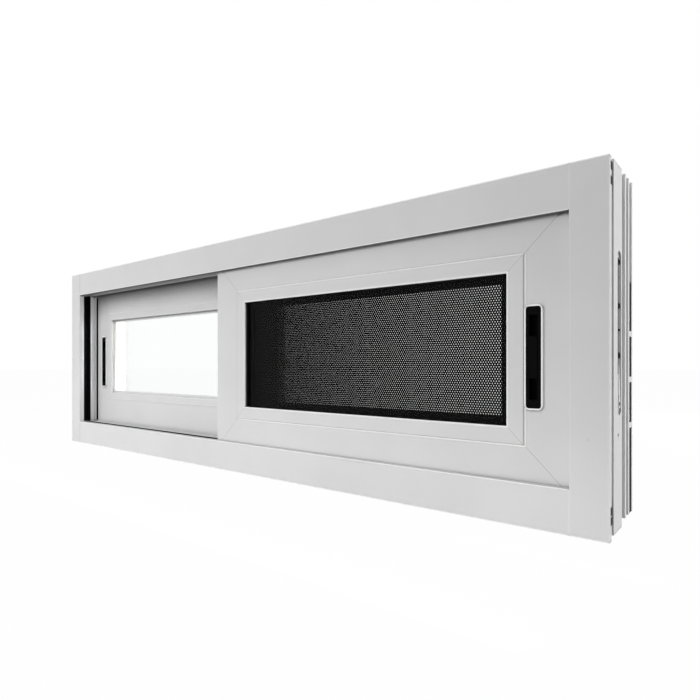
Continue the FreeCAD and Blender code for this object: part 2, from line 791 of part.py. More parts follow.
def build_front_sash():
    sash = Opening(front_left, front_right, sash_low, sash_high)
    glass_edge = s.front_member + s.rebate_leg
    seat = s.bead_seat
    outer = [
        (ZERO, ZERO),
        (s.front_member, ZERO),
        (s.front_member, seat),
        (glass_edge, seat),
        (glass_edge, s.sash_thickness),
        (ZERO, s.sash_thickness),
    ]
    chamber = rectangle(s.sash_wall, s.front_member - s.sash_wall, s.sash_wall, s.sash_thickness - s.sash_wall)
    names = {
        "left": "front_meeting_stile",
        "top": "front_top_rail",
        "right": "front_lock_stile",
        "bottom": "front_bottom_rail",
    }
    members = {}
    for side, name in names.items():
        members[side] = member(name, side, sash, front_sash_y, [outer, chamber], mitre=glass_edge)
    cut_roller_slots(members["bottom"], ZERO, front_width)
    latch_across = s.front_member - s.latch_margin - s.latch_width / 2
    case_top = sash_high - s.latch_centre - s.case_height / 2
    cut_latch_hole(members["right"], latch_across, case_top)
    build_latch("front_latch", front_right - latch_across, front_sash_y)

    bead_y = front_sash_y - s.bead_proud
    border_y = front_sash_y + s.bead_seat + s.glass_thickness
    beads = sash.inset(s.front_member)
    border = sash.inset(glass_edge)
    border_width = s.front_bead - s.rebate_leg + s.mesh_border
    for side in names:
        member(f"front_bead_{side}", side, beads, bead_y, [bead_profile()], mitre=s.front_bead)
        member(f"mesh_border_{side}", side, border, border_y, [mesh_border_profile()], mitre=border_width)
    glass = sash.inset(glass_edge + s.glass_edge)
    new_box(
        "front_glass",
        glass.left,
        front_sash_y + s.bead_seat,
        glass.low,
        glass.length("top"),
        s.glass_thickness,
        glass.length("left"),
    )
    mesh = border.inset(s.front_bead - s.rebate_leg - s.mesh_slot)
    new_box(
        "security_mesh",
        mesh.left,
        border_y + s.mesh_spacer,
        mesh.low,
        mesh.length("top"),
        s.mesh_thickness,
        mesh.length("left"),
    )
    build_rollers("front", front_left, front_width, front_sash_y)

    fin_end = s.front_member + s.front_bead + s.mesh_border
    back = s.sash_thickness
    strip = [
        (s.front_member + s.front_bead, back),
        (fin_end, back),
        (fin_end, back + s.fin_depth),
        (fin_end - s.fin_wall, back + s.fin_depth),
        (fin_end - s.fin_wall, back + s.fin_wall),
        (s.front_member + s.front_bead, back + s.fin_wall),
    ]
    fin_bay = Opening(front_left, front_right, bay_low + s.fin_gap, bay_high - s.fin_gap)
    member("front_interlock", "left", fin_bay, front_sash_y, [strip])


def build_rear_sash():
    sash = Opening(rear_left, rear_right, sash_low, sash_high)
    inner = Opening(rear_left + s.rear_stile, rear_right - s.rear_stile, sash_low, sash_high)
    stile = member("rear_lock_stile", "left", sash, rear_sash_y, tube_profile(s.rear_stile))
    case_low = s.latch_centre - s.case_height / 2 - sash_low
    cut_latch_hole(stile, s.rear_latch_inset, case_low)
    build_latch("rear_latch", rear_left + s.rear_latch_inset, rear_sash_y)
    member("rear_meeting_stile", "right", sash, rear_sash_y, tube_profile(s.rear_stile))
    member("rear_top_rail", "top", inner, rear_sash_y, tube_profile(s.rear_top))
    rail = member("rear_bottom_rail", "bottom", inner, rear_sash_y, tube_profile(s.rear_bottom))
    cut_roller_slots(rail, s.rear_stile, rear_width - s.rear_stile * 2)

    light = sash.inset(s.rear_stile, low=s.rear_bottom, high=s.rear_top)
    for side in TURNS:
        member(
            f"rear_glazing_{side}",
            side,
            light,
            rear_sash_y - s.bead_proud,
            [glazing_profile()],
            mitre=s.rear_bead + s.rear_step,
        )
    glass = light.inset(s.sash_wall + s.glass_edge)
    new_box(
        "rear_glass",
        glass.left,
        rear_sash_y + s.bead_seat,
        glass.low,
        glass.length("top"),
        s.glass_thickness,
        glass.length("left"),
    )
    build_rollers("rear", rear_left, rear_width, rear_sash_y)


def check_features():
    """Stop where a feature failed, or a pocket took nothing away."""
    for item in doc.Objects:
        if "Invalid" in item.State or "Error" in item.State:
            raise RuntimeError(f"{item.Name} failed: {item.State}")
        if item.TypeId == "PartDesign::Pocket":
            if item.Shape.Volume >= item.BaseFeature.Shape.Volume - 1e-6:
                raise RuntimeError(f"{item.Name} cut nothing")
    for node in nodes:
        if node.Shape.isNull() or not node.Shape.isValid():
            raise RuntimeError(f"{node.Label} has no sound shape")


def export():
    os.makedirs("parts", exist_ok=True)
    for node in nodes:
        node.Shape.exportStep(f"parts/{node.Label}.step")


build_frame()
build_track_buffers()
build_side_hardware()
build_front_sash()
build_rear_sash()
doc.recompute()
check_features()
export()
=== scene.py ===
import json
import math
import random

import bmesh
import bpy
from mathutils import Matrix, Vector


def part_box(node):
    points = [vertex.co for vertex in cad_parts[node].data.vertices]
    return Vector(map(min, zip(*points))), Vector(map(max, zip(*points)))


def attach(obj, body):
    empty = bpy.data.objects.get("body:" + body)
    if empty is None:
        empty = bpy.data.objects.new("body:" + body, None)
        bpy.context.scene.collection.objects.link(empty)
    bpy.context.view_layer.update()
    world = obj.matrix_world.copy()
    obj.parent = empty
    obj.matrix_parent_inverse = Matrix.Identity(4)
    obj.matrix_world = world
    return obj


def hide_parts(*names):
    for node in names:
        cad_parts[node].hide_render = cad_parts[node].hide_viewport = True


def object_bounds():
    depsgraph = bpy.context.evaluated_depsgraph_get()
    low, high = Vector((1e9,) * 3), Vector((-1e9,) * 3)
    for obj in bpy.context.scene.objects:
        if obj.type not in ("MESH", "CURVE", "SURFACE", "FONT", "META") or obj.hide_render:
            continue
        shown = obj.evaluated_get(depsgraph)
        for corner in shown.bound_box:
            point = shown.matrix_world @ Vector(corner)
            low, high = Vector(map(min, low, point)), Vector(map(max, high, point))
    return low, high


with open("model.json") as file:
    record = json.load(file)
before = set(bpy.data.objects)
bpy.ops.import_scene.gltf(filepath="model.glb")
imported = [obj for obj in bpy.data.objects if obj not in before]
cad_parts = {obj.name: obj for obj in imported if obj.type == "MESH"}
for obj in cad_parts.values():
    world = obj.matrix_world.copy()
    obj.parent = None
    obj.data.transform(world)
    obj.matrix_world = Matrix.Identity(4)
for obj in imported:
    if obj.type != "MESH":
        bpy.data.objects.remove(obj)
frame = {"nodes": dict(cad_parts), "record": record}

CAD_BOX = [list(corner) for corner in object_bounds()]
NODES = frame["nodes"]
LEFT_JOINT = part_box("head")[0].x
BODY = "root"

# The front face, and the photograph's camera in front of it, in metres and degrees
FRONT = CAD_BOX[0][1]
CAMERA_DISTANCE = 0.7397
CAMERA_PLACE = (0.9095, FRONT - CAMERA_DISTANCE, 0.2284)
CAMERA_YAW = 38.30
CAMERA_LENS = 27.257
SENSOR_WIDTH = 36.0
HORIZON_SHIFT = 0.0221

# Perforated security sheet
HOLE_PITCH = 0.0042
HOLE_ROW = 0.0036
HOLE_RADIUS = 0.00098
HOLE_SIDES = 12
HOLE_SIDE_MARGIN = 0.015
HOLE_END_MARGIN = 0.0165
SHEET_PIECES = 3

# Slim rim round each latch's face plate
RIM_GAP = 0.0001
RIM_LIP = 0.0003
RIM_WIDTH = 0.0022
RIM_HEIGHT = 0.0029
PLATE_RISE = 0.0025
PLATE_CORNER = 0.0045
CORNER_STEPS = 6

# Fasteners on the keeper plate: height above the floor and radius
KEEPER_SCREWS = [(0.3700, 0.0040), (0.3100, 0.0040), (0.2770, 0.0018), (0.2420, 0.0045)]
SCREW_HEIGHT = 0.0018
SCREW_SHIFT = 0.003
SCREW_SIDES = 24

# Brush pile in the grooves on top of the fins between the tracks
PILE_WIDTH = 0.0050
PILE_HEIGHT = 0.0028
GROOVE_DEPTH = 0.003
TUFT = 0.010

FIN_MIDDLES = [FRONT + 0.0415, FRONT + 0.0795]

# Plugs in the corner notches of the jambs: depths behind the front face, and heights
NOTCH_FRONT = FRONT + 0.006
NOTCH_BACK = FRONT + 0.011
NOTCH_HEIGHTS = [(0.0215, 0.0315), (0.0340, 0.0440), (0.4640, 0.4740), (0.4830, 0.4930)]
LUG_BACK = FRONT + 0.0150
PLUG_SUNK = 0.0001
PLUG_DEPTH = 0.0030
LUG_DEPTH = 0.0098

# Strip along the front of the keeper slot, and the rivet at the foot of the keeper's arm
STRIP_LOW = 0.2170
STRIP_HIGH = 0.3745
STRIP_FRONT = FRONT + 0.0442
STRIP_WIDTH = 0.0090
STRIP_HEIGHT = 0.0018
ARM_RIVET = (0.1760, 0.0028)

# Seam round the glazing bead: a pale bar whose tone is a painted highlight and a dark bar of painted shade,
# pale edge strips painted as highlights, and the gasket wedge between the bead and its glass
SEAM_GAP = 0.0001
SEAM_WIDTH = 0.0024
SEAM_RISE = 0.0004
SHADOW_BAR_WIDTH = 0.0014
EDGE_WIDTH = 0.0020
EDGE_RISE = 0.00012
GASKET_WIDTH = 0.0016
GASKET_HEIGHT = 0.0048

# Black ceramic band on the glass in front of the screen's border
BAND_FRONT = 0.0003
BAND_BACK = 0.0001

# Black strip on the front rib of the sill's front fin, which stands in for the shade in the track there
SHADOW_STRIP_THICKNESS = 0.0004
SHADOW_STRIP_HEIGHT = 0.0060
SHADOW_STRIP_SUNK = 0.0015

# Front of the rear sash's track
REAR_TRACK = FRONT + 0.0500


def make_camera():
    data = bpy.data.cameras.new("photo_camera")
    data.sensor_width = SENSOR_WIDTH
    data.lens = CAMERA_LENS
    data.shift_y = HORIZON_SHIFT
    data.clip_start = 0.01
    data.clip_end = 100.0
    camera = bpy.data.objects.new("photo_camera", data)
    camera.location = CAMERA_PLACE
    camera.rotation_euler = (math.radians(90.0), 0.0, math.radians(CAMERA_YAW))
    bpy.context.scene.collection.objects.link(camera)
    bpy.context.scene.camera = camera


def new_material(name):
    """An empty node material and a helper that adds nodes to it."""
    material = bpy.data.materials.new(name)
    material.use_nodes = True
    tree = material.node_tree
    tree.nodes.clear()
    output = tree.nodes.new("ShaderNodeOutputMaterial")

    def add(kind, inputs=None, **settings):
        node = tree.nodes.new(kind)
        for key, value in settings.items():
            setattr(node, key, value)
        for key, value in (inputs or {}).items():
            if isinstance(value, bpy.types.NodeSocket):
                tree.links.new(value, node.inputs[key])
            else:
                node.inputs[key].default_value = value
        return node

    return material, add, output, tree


def surface(tree, output, shader):
    tree.links.new(shader.outputs[0], output.inputs["Surface"])


def grey(value):
    return (value, value, value, 1.0)


def noise(add, where, scale, detail=2.0, roughness=0.5, stretch=None):
    """A noise value from object coordinates, with an optional stretch along each axis."""
    if stretch:
        where = add("ShaderNodeMapping", {"Vector": where, "Scale": stretch}).outputs[0]
    inputs = {"Vector": where, "Scale": scale, "Detail": detail, "Roughness": roughness}
    return add("ShaderNodeTexNoise", inputs).outputs["Fac"]


def ramp(add, value, low, high, to_low=0.0, to_high=1.0):
    inputs = {"Value": value, "From Min": low, "From Max": high, "To Min": to_low, "To Max": to_high}
    return add("ShaderNodeMapRange", inputs).outputs["Result"]


def maths(add, operation, first, second):
    return add("ShaderNodeMath", {0: first, 1: second}, operation=operation).outputs[0]


def blend(add, factor, first, second):
    node = add("ShaderNodeMix", {"Factor": factor}, data_type="RGBA")
    for socket, value in zip(node.inputs[6:8], (first, second)):
        if isinstance(value, bpy.types.NodeSocket):
            node.id_data.links.new(value, socket)
        else:
            socket.default_value = value
    return node.outputs[2]


def bumped(add, height, strength, distance, base=None):
    inputs = {"Height": height, "Strength": strength, "Distance": distance}
    if base:
        inputs["Normal"] = base
    return add("ShaderNodeBump", inputs).outputs[0]


def spot(add, where, centre, size):
    """1 at a centre, falling to 0 at the given half sizes along each axis."""
    offset = add("ShaderNodeVectorMath", {0: where, 1: centre}, operation="SUBTRACT").outputs[0]
    scaled = add("ShaderNodeVectorMath", {0: offset, 1: size}, operation="DIVIDE").outputs[0]
    reach = add("ShaderNodeVectorMath", {0: scaled}, operation="LENGTH").outputs["Value"]
    return ramp(add, reach, 1.0, 0.0)


# Paint: width and tone of the painted highlight on its arrises (the same tone paints a lit side), tone of
# its mitre lines, reach and tone of the painted shade in corners, under ledges and under the head, and half
# width of the dark joint line
HIGHLIGHT_ARRIS_WIDTH = 0.0038
PAINTED_LIGHT_TONE = 0.97
MITRE_TONE = 0.30
GROOVE_REACH = 0.012
LEDGE_REACH = 0.0055
SOFFIT_REACH = 0.090
SOFFIT_SHADE = 0.8
PAINTED_SHADE_AND_JOINT_TONE = (0.022, 0.022, 0.021, 1.0)
JOINT_HALF = 0.0012

# Small marks on the paint: place, half size and darkness, in metres
MARKS = [
    ((0.330, FRONT, 0.0590), (0.075, 0.006, 0.0035), 0.60),
    ((0.372, FRONT + 0.006, 0.0620), (0.060, 0.008, 0.0020), 0.35),
    ((0.560, FRONT + 0.012, 0.1980), (0.006, 0.010, 0.0030), 0.20),
    ((0.655, FRONT + 0.012, 0.3320), (0.010, 0.010, 0.0020), 0.12),
    ((0.672, FRONT + 0.012, 0.3320), (0.003, 0.010, 0.0020), 0.25),
    ((0.660, FRONT + 0.012, 0.2080), (0.008, 0.010, 0.0060), 0.08),
    ((0.7245, FRONT, 0.1310), (0.0022, 0.006, 0.0022), 0.95),
]


def shade_from_above(add, flat, reach, low, high, strength):
    """How much of the light from above is held off within a reach, as a share of the shade tone."""
    lifted = add("ShaderNodeVectorMath", {0: flat, 1: (0.0, 0.0, 3.0)}, operation="ADD").outputs[0]
    upward = add("ShaderNodeVectorMath", {0: lifted}, operation="NORMALIZE").outputs[0]
    opening = add("ShaderNodeAmbientOcclusion", {"Distance": reach, "Normal": upward}, samples=6)
    return ramp(add, opening.outputs["AO"], low, high, strength, 0.0)


def white_paint(name, pale=0.655, shade=1.0, soffit=0.0, under=0.0, painted_shade_side=None, painted_lit_side=None):
    """Powder-coated aluminium: orange peel, dark mitres, a dark joint line and scuffs, with painted
    highlights on its arrises and painted shade in grooves, under ledges and under the head; the shares and
    sides add painted shade on faces that look down or one way, and painted light on faces that look another
    way.
    """
    material, add, output, tree = new_material(name)
    where = add("ShaderNodeTexCoord").outputs["Object"]
    cloud = noise(add, where, 7.0, 3.0)
    base = blend(add, ramp(add, cloud, 0.35, 0.65), grey(pale), grey(pale + 0.03))
    grain = noise(add, where, 240.0, 2.0)
    base = blend(add, ramp(add, grain, 0.3, 0.7, 0.0, 0.05), base, grey(pale - 0.06))

    flat = add("ShaderNodeNewGeometry").outputs["True Normal"]
    sideways = add("ShaderNodeSeparateXYZ", {0: flat}).outputs["X"]
    side = add("ShaderNodeMath", {0: sideways}, operation="ABSOLUTE")
    rounded = add("ShaderNodeBevel", {"Radius": HIGHLIGHT_ARRIS_WIDTH}, samples=6).outputs[0]
    turn = add("ShaderNodeVectorMath", {0: rounded, 1: flat}, operation="DOT_PRODUCT").outputs["Value"]
    lean = add("ShaderNodeSeparateXYZ", {0: rounded}).outputs
    rise = add("ShaderNodeMath", {0: lean["Z"]}, operation="ABSOLUTE").outputs[0]
    # Painted highlight: the arrises of rails and sides are painted pale, as if they caught the light
    on_rails = ramp(add, rise, 0.05, 0.35, 0.18, 0.9)
    on_sides = ramp(add, side.outputs[0], 0.6, 0.9, 0.0, 0.9)
    show = maths(add, "MAXIMUM", on_rails, on_sides)
    painted_highlight = maths(add, "MULTIPLY", ramp(add, turn, 0.998, 0.955), show)
    base = blend(add, painted_highlight, base, grey(PAINTED_LIGHT_TONE))
    slant = add("ShaderNodeMath", {0: maths(add, "MULTIPLY", lean["X"], lean["Z"])}, operation="ABSOLUTE")
    base = blend(add, ramp(add, slant.outputs[0], 0.06, 0.16, 0.0, 0.75), base, grey(MITRE_TONE))
    across = add("ShaderNodeSeparateXYZ", {0: where}).outputs["X"]
    from_joint = add("ShaderNodeMath", {0: maths(add, "SUBTRACT", across, LEFT_JOINT)}, operation="ABSOLUTE")
    joint = ramp(add, from_joint.outputs[0], JOINT_HALF, JOINT_HALF * 0.4, 0.0, 0.5)
    base = blend(add, joint, base, PAINTED_SHADE_AND_JOINT_TONE)
    # Painted shade: faces that look down are darkened by the share under
    if under:
        below = add("ShaderNodeVectorMath", {0: flat, 1: (0.0, 0.0, -1.0)}, operation="DOT_PRODUCT")
        base = blend(add, ramp(add, below.outputs["Value"], 0.8, 0.95, 0.0, under), base, PAINTED_SHADE_AND_JOINT_TONE)
    # Painted light: faces that look towards the given side are painted pale, as if lit
    if painted_lit_side:
        facing = add("ShaderNodeVectorMath", {0: flat, 1: painted_lit_side}, operation="DOT_PRODUCT")
        base = blend(add, ramp(add, facing.outputs["Value"], 0.5, 0.8), base, grey(PAINTED_LIGHT_TONE))
    # Painted shade: faces and arrises that look towards the given side are darkened
    if painted_shade_side:
        facing = add("ShaderNodeVectorMath", {0: rounded, 1: painted_shade_side}, operation="DOT_PRODUCT")
        base = blend(add, ramp(add, facing.outputs["Value"], 0.10, 0.40, 0.0, 0.45), base, PAINTED_SHADE_AND_JOINT_TONE)

    # Painted shade: colour is darkened in grooves and corners, under ledges and, by the share soffit, under
    # the head, where shade falls
    groove = add("ShaderNodeAmbientOcclusion", {"Distance": GROOVE_REACH}, samples=6).outputs["AO"]
    groove = ramp(add, groove, 0.12, 0.47, 0.95 * shade, 0.0)
    base = blend(add, groove, base, PAINTED_SHADE_AND_JOINT_TONE)
    if shade:
        ledge = shade_from_above(add, flat, LEDGE_REACH, 0.14, 0.50, (0.97 - 0.4 * soffit) * shade)
        base = blend(add, ledge, base, PAINTED_SHADE_AND_JOINT_TONE)
    if soffit:
        recess = shade_from_above(add, flat, SOFFIT_REACH, 0.06, 0.34, soffit)
        base = blend(add, recess, base, PAINTED_SHADE_AND_JOINT_TONE)

    scratch = noise(add, where, 420.0, 4.0, 0.7, (1.0, 1.0, 2.5))
    flecks = ramp(add, scratch, 0.50, 0.62)
    for centre, size, darkness in MARKS:
        mask = maths(add, "MULTIPLY", spot(add, where, centre, size), flecks)
        base = blend(add, maths(add, "MULTIPLY", mask, darkness), base, grey(0.16))
    rough = ramp(add, noise(add, where, 55.0, 4.0), 0.3, 0.7, 0.30, 0.40)
    peel = maths(add, "ADD", noise(add, where, 700.0, 2.0), noise(add, where, 2400.0, 1.0))
    soft = add("ShaderNodeBevel", {"Radius": 0.0006}, samples=4).outputs[0]
    normal = bumped(add, peel, 0.10, 0.00012, soft)
    shader = add(
        "ShaderNodeBsdfPrincipled",
        {"Base Color": base, "Roughness": rough, "Normal": normal, "IOR": 1.5},
    )
    surface(tree, output, shader)
    return material


def pile_fabric():
    """Dark grey brush pile of the draught strips."""
    material, add, output, tree = new_material("grey_pile")
    where = add("ShaderNodeTexCoord").outputs["Object"]
    tufts = noise(add, where, 1500.0, 3.0, 0.7, (1.0, 0.4, 0.15))
    base = blend(add, tufts, grey(0.050), grey(0.140))
    normal = bumped(add, tufts, 0.6, 0.0006)
    inputs = {"Base Color": base, "Roughness": 0.95, "Normal": normal, "Specular IOR Level": 0.1}
    surface(tree, output, add("ShaderNodeBsdfPrincipled", inputs))
    return material


def black_paint():
    """Matt black powder coat of the perforated sheet and its border."""
    material, add, output, tree = new_material("black_powder_coat")
    where = add("ShaderNodeTexCoord").outputs["Object"]
    base = blend(add, noise(add, where, 90.0, 3.0), grey(0.002), grey(0.004))
    rough = ramp(add, noise(add, where, 300.0, 3.0), 0.3, 0.7, 0.42, 0.60)
    normal = bumped(add, noise(add, where, 1800.0, 2.0), 0.1, 0.00004)
    shader = add(
        "ShaderNodeBsdfPrincipled",
        {"Base Color": base, "Roughness": rough, "Normal": normal, "Specular IOR Level": 0.03},
    )
    surface(tree, output, shader)
    return material


def black_plastic():
    """Satin black moulded plastic with a fine spark texture."""
    material, add, output, tree = new_material("black_moulded_plastic")
    where = add("ShaderNodeTexCoord").outputs["Object"]
    base = blend(add, noise(add, where, 60.0, 3.0), grey(0.0015), grey(0.003))
    rough = ramp(add, noise(add, where, 160.0, 4.0), 0.3, 0.7, 0.34, 0.48)
    rounded = add("ShaderNodeBevel", {"Radius": 0.0005}, samples=4).outputs[0]
    normal = bumped(add, noise(add, where, 2600.0, 2.0), 0.18, 0.00008, rounded)
    shader = add(
        "ShaderNodeBsdfPrincipled",
        {"Base Color": base, "Roughness": rough, "Normal": normal, "Specular IOR Level": 0.03},
    )
    surface(tree, output, shader)
    return material


def black_rubber():
    material, add, output, tree = new_material("black_rubber")
    where = add("ShaderNodeTexCoord").outputs["Object"]
    base = blend(add, noise(add, where, 35.0, 4.0), grey(0.006), grey(0.014))
    streak = noise(add, where, 500.0, 3.0, 0.6, (1.0, 1.0, 0.05))
    rough = ramp(add, streak, 0.3, 0.7, 0.62, 0.8)
    normal = bumped(add, streak, 0.35, 0.0002)
    shader = add(
        "ShaderNodeBsdfPrincipled",
        {"Base Color": base, "Roughness": rough, "Normal": normal, "Specular IOR Level": 0.03},
    )
    surface(tree, output, shader)
    return material


def bare_steel():
    """Zinc-plated steel with brushing along its length and faint blotches."""
    material, add, output, tree = new_material("zinc_plated_steel")
    where = add("ShaderNodeTexCoord").outputs["Object"]
    blotch = noise(add, where, 130.0, 4.0, 0.65)
    base = blend(add, ramp(add, blotch, 0.35, 0.65), (0.62, 0.615, 0.60, 1.0), (0.78, 0.78, 0.77, 1.0))
    brushing = noise(add, where, 900.0, 3.0, 0.6, (1.0, 1.0, 0.04))
    rough = ramp(add, brushing, 0.3, 0.7, 0.25, 0.45)
    rounded = add("ShaderNodeBevel", {"Radius": 0.0004}, samples=4).outputs[0]
    normal = bumped(add, brushing, 0.15, 0.00006, rounded)
    shader = add(
        "ShaderNodeBsdfPrincipled",
        {"Base Color": base, "Metallic": 1.0, "Roughness": rough, "Normal": normal},
    )
    surface(tree, output, shader)
    return material


def nylon():
    """Milky moulded nylon of the rollers, their forks and the side clips."""
    material, add, output, tree = new_material("white_nylon")
    where = add("ShaderNodeTexCoord").outputs["Object"]
    base = blend(add, noise(add, where, 80.0, 3.0), (0.68, 0.675, 0.65, 1.0), (0.78, 0.775, 0.75, 1.0))
    rough = ramp(add, noise(add, where, 250.0, 3.0), 0.3, 0.7, 0.38, 0.52)
    rounded = add("ShaderNodeBevel", {"Radius": 0.0004}, samples=4).outputs[0]
    normal = bumped(add, noise(add, where, 1500.0, 2.0), 0.12, 0.0001, rounded)
    shader = add(
        "ShaderNodeBsdfPrincipled",
        {"Base Color": base, "Roughness": rough, "Normal": normal, "IOR": 1.53},
    )
    surface(tree, output, shader)
    return material


def clear_glass():
    """Thin clear pane: what is behind it shows through, with a weak reflection on top."""
    material, add, output, tree = new_material("clear_glass")
    where = add("ShaderNodeTexCoord").outputs["Object"]
    haze = noise(add, where, 9.0, 3.0)
    tint = blend(add, haze, (0.984, 0.992, 0.988, 1.0), (0.992, 0.997, 0.994, 1.0))
    through = add("ShaderNodeBsdfTransparent", {"Color": tint})
    rough = ramp(add, haze, 0.3, 0.7, 0.01, 0.03)
    mirror = add("ShaderNodeBsdfGlossy", {"Color": grey(0.9), "Roughness": rough})
    outside = ramp(add, add("ShaderNodeNewGeometry").outputs["Backfacing"], 0.0, 1.0, 1.0, 0.0)
    gloss = maths(add, "MULTIPLY", add("ShaderNodeFresnel", {"IOR": 1.12}).outputs[0], outside)
    shader = add("ShaderNodeMixShader", {0: gloss, 1: through.outputs[0], 2: mirror.outputs[0]})
    surface(tree, output, shader)
    return material


def mesh_object(name, points, faces, material, outwards=False):
    mesh = bpy.data.meshes.new(name)
    mesh.from_pydata(points, [], faces)
    mesh.update()
    if outwards:
        shape = bmesh.new()
        shape.from_mesh(mesh)
        bmesh.ops.recalc_face_normals(shape, faces=shape.faces)
        shape.to_mesh(mesh)
        shape.free()
    piece = bpy.data.objects.new(name, mesh)
    bpy.context.scene.collection.objects.link(piece)
    mesh.materials.append(material)
    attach(piece, BODY)
    return piece


class SheetFace:
    """Points of the perforated sheet, each made once on its front and once on its back."""

    def __init__(self, front, back):
        self.front = front
        self.back = back
        self.points = []
        self.index = {}
        self.faces = []

    def pair(self, x, z):
        """The front and back point numbers at one place."""
        key = (round(x * 1e7), round(z * 1e7))
        if key not in self.index:
            self.index[key] = len(self.points)
            self.points += [(x, self.front, z), (x, self.back, z)]
        return self.index[key], self.index[key] + 1

    def plate(self, *corners):
        """A flat face on the front, seen from -Y counter-clockwise, and its twin on the back."""
        pairs = [self.pair(*corner) for corner in corners]
        self.faces.append([front for front, _ in pairs])
        self.faces.append([back for _, back in reversed(pairs)])

    def wall(self, start, end):
        (a, b), (c, d) = self.pair(*start), self.pair(*end)
        self.faces.append([a, b, d, c])

    def holed_cell(self, x, z, half, rise):
        """One hole in a cell whose sides also have a point in the middle of its top and bottom."""
        step = 2 * math.pi / HOLE_SIDES
        ring = []
        for number in range(HOLE_SIDES):
            angle = number * step
            ring.append((x + HOLE_RADIUS * math.cos(angle), z + HOLE_RADIUS * math.sin(angle)))
        edge = [
            (x + half, z - rise),
            (x + half, z + rise),
            (x, z + rise),
            (x - half, z + rise),
            (x - half, z - rise),
            (x, z - rise),
        ]
        # Each edge point fans over the ring points that face it
        near = [11, 1, 3, 5, 7, 9]
        for number, corner in enumerate(edge):
            following = (number + 1) % len(edge)
            first = near[number]
            last = near[following]
            middle = (first + 1) % HOLE_SIDES
            self.plate(corner, edge[following], ring[last], ring[middle], ring[first])
        for number in range(HOLE_SIDES):
            self.wall(ring[number], ring[(number + 1) % HOLE_SIDES])


def perforated_sheet(material):
    low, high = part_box("security_mesh")
    half = HOLE_PITCH / 2
    rise = HOLE_ROW / 2
    columns = int((high.x - low.x - 2 * HOLE_SIDE_MARGIN) / HOLE_PITCH)
    rows = int((high.z - low.z - 2 * HOLE_END_MARGIN) / HOLE_ROW)
    left = (low.x + high.x - columns * HOLE_PITCH) / 2
    right = left + columns * HOLE_PITCH
    bottom = (low.z + high.z - rows * HOLE_ROW) / 2
    bounds = [rows * number // SHEET_PIECES for number in range(SHEET_PIECES + 1)]
    for number in range(SHEET_PIECES):
        face = SheetFace(low.y, high.y)
        for row in range(bounds[number], bounds[number + 1]):
            z = bottom + (row + 0.5) * HOLE_ROW
            down, up = z - rise, z + rise
            face.plate((low.x, down), (left, down), (left, up), (low.x, up))
            face.plate((right, down), (high.x, down), (high.x, up), (right, up))
            face.wall((low.x, down), (low.x, up))
            face.wall((high.x, up), (high.x, down))
            offset = row % 2
            for column in range(columns - offset):
                face.holed_cell(left + (column + 0.5 + offset / 2) * HOLE_PITCH, z, half, rise)
            if offset:
                face.plate((left, down), (left + half, down), (left + half, up), (left, up))
                face.plate((right - half, down), (right, down), (right, up), (right - half, up))
        stops = [low.x] + [left + step * half for step in range(2 * columns + 1)] + [high.x]
        start = low.z if number == 0 else bottom + bounds[number] * HOLE_ROW
        end = high.z if number == SHEET_PIECES - 1 else bottom + bounds[number + 1] * HOLE_ROW
        first_row = bottom + bounds[number] * HOLE_ROW
        last_row = bottom + bounds[number + 1] * HOLE_ROW
        for a, b in zip(stops, stops[1:]):
            if number == 0:
                face.plate((a, start), (b, start), (b, first_row), (a, first_row))
            if number == SHEET_PIECES - 1:
                face.plate((a, last_row), (b, last_row), (b, end), (a, end))
            face.wall((b, start), (a, start))
            face.wall((a, end), (b, end))
        if number == 0:
            face.wall((low.x, start), (low.x, first_row))
            face.wall((high.x, first_row), (high.x, start))
        if number == SHEET_PIECES - 1:
            face.wall((low.x, last_row), (low.x, end))
            face.wall((high.x, end), (high.x, last_row))
        name = f"perforated_sheet_{number + 1}"
        piece = mesh_object(name, face.points, face.faces, material)
        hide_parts("security_mesh")


def rounded_outline(width, height, radius):
    """Points round an upright rectangle with round corners, as (across, up), centred on the origin."""
    points = []
    for corner in range(4):
        turn = corner * math.pi / 2
        along = (1, 1) if corner == 0 else (-1, 1) if corner == 1 else (-1, -1) if corner == 2 else (1, -1)
        middle = (along[0] * (width / 2 - radius), along[1] * (height / 2 - radius))
        for step in range(CORNER_STEPS + 1):
            angle = turn + step * math.pi / 2 / CORNER_STEPS
            points.append((middle[0] + radius * math.cos(angle), middle[1] + radius * math.sin(angle)))
    return points


def latch_rim(name, latch, stile, material):
    """A slim raised rim on the stile's face, round a latch's face plate."""
    low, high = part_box(latch)
    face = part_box(stile)[0].y
    centre_x, centre_z = (low.x + high.x) / 2, (low.z + high.z) / 2
    width, height = high.x - low.x, high.z - low.z
    section = [
        (RIM_GAP, 0.0, RIM_GAP),
        (RIM_GAP, PLATE_RISE + RIM_GAP, RIM_GAP),
        (-RIM_LIP, PLATE_RISE + RIM_GAP, PLATE_CORNER),
        (-RIM_LIP, RIM_HEIGHT, PLATE_CORNER),
        (RIM_WIDTH * 0.8, RIM_HEIGHT, PLATE_CORNER + RIM_WIDTH * 0.8),
        (RIM_WIDTH, RIM_HEIGHT * 0.8, PLATE_CORNER + RIM_WIDTH),
        (RIM_WIDTH, 0.0, PLATE_CORNER + RIM_WIDTH),
    ]
    points, faces = [], []
    for offset, rise, corner in section:
        loop = rounded_outline(width + 2 * offset, height + 2 * offset, corner)
        points += [(centre_x + across, face - rise, centre_z + up) for across, up in loop]
    count = len(points) // len(section)
    for ring in range(len(section)):
        following = (ring + 1) % len(section)
        for step in range(count):
            after = (step + 1) % count
            here, there = ring * count, following * count
            faces.append([here + step, here + after, there + after, there + step])
    mesh_object(name, points, faces, material, outwards=True)


